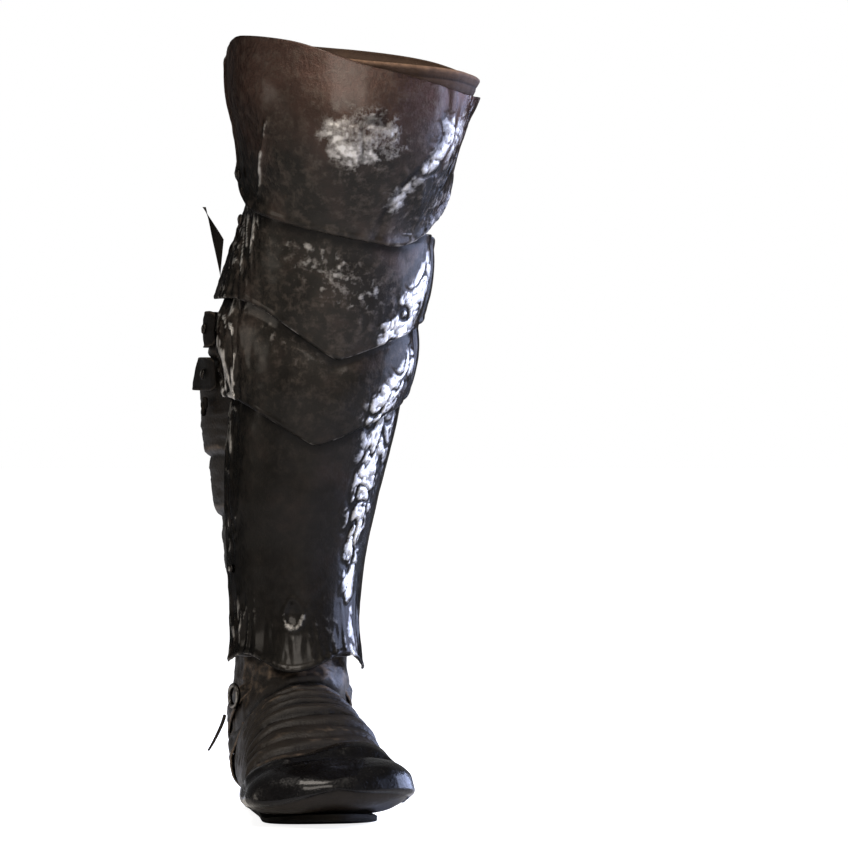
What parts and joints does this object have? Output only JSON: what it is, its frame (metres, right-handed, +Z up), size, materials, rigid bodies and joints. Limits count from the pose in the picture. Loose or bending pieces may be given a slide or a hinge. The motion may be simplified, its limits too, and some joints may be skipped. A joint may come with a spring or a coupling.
{
  "type": "greave with boot",
  "caption": "Right-leg plate greave: blackened iron knee plate, overlapping lames and shin plate strapped over a soft leather boot with a brown thigh cuff.",
  "frame": {"origin": "on the flat underside of the sole, straight under the ankle's axis", "axes": "+Z up the leg, the toe towards -Y, the inner side of the right leg towards +X"},
  "size_m": [0.2031, 0.2899, 0.581],
  "materials": {
    "black_iron": "hammered, blackened and oil-browned sheet iron with bright worn edges",
    "fitting_iron": "dark forged iron, slightly worn",
    "boot_leather": "soft dark brown-olive leather, creased, dull",
    "cuff_leather": "brown leather, matt, worn at the rim",
    "strap_leather": "dark strap leather, dull",
    "toe_leather": "black waxed leather, glossy",
    "sole_leather": "dark sole leather, scuffed"
  },
  "bodies": {
    "root": {"sole": "sole_leather", "foot_upper": "boot_leather", "toe_cap": "toe_leather", "heel_band_lower": "boot_leather", "heel_band_upper": "boot_leather", "boot_shaft": "boot_leather", "thigh_cuff": "cuff_leather", "shin_plate": "black_iron", "lower_lame": "black_iron", "upper_lame": "black_iron", "knee_plate": "black_iron", "knee_strap": "strap_leather", "knee_strap_end": "strap_leather", "upper_calf_strap": "strap_leather", "lower_calf_strap": "strap_leather", "buckle_frame": "fitting_iron", "buckle_tongue": "fitting_iron", "strap_keeper": "strap_leather", "upper_strap_rivet": "fitting_iron", "lower_strap_rivet": "fitting_iron", "knee_rivet": "fitting_iron", "upper_lame_rivet": "fitting_iron", "shin_rivet": "fitting_iron", "thong_knot": "strap_leather", "ankle_ring": "fitting_iron", "ankle_tie_end": "strap_leather"}
  },
  "joints": []
}
